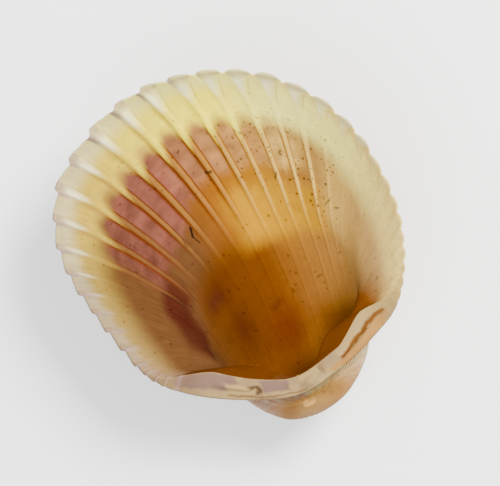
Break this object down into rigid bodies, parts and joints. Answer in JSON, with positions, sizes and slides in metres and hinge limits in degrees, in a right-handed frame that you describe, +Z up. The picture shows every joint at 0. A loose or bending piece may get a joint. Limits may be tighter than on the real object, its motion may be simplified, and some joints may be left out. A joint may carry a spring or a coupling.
{
  "type": "cockle shell",
  "caption": "Single ribbed cockle valve with a toothed edge and a hinge plate, lying on its rounded back with the hollow side up.",
  "frame": {"origin": "centre of the box's footprint, on the surface that the valve rests on", "axes": "+Z up; +Y from the hinge towards the ventral edge; +X to the right, seen from the hollow side with the hinge nearest"},
  "size_m": [0.0508, 0.0554, 0.0204],
  "materials": {
    "shell": "satin"
  },
  "bodies": {
    "root": {"valve": "shell"}
  },
  "joints": []
}
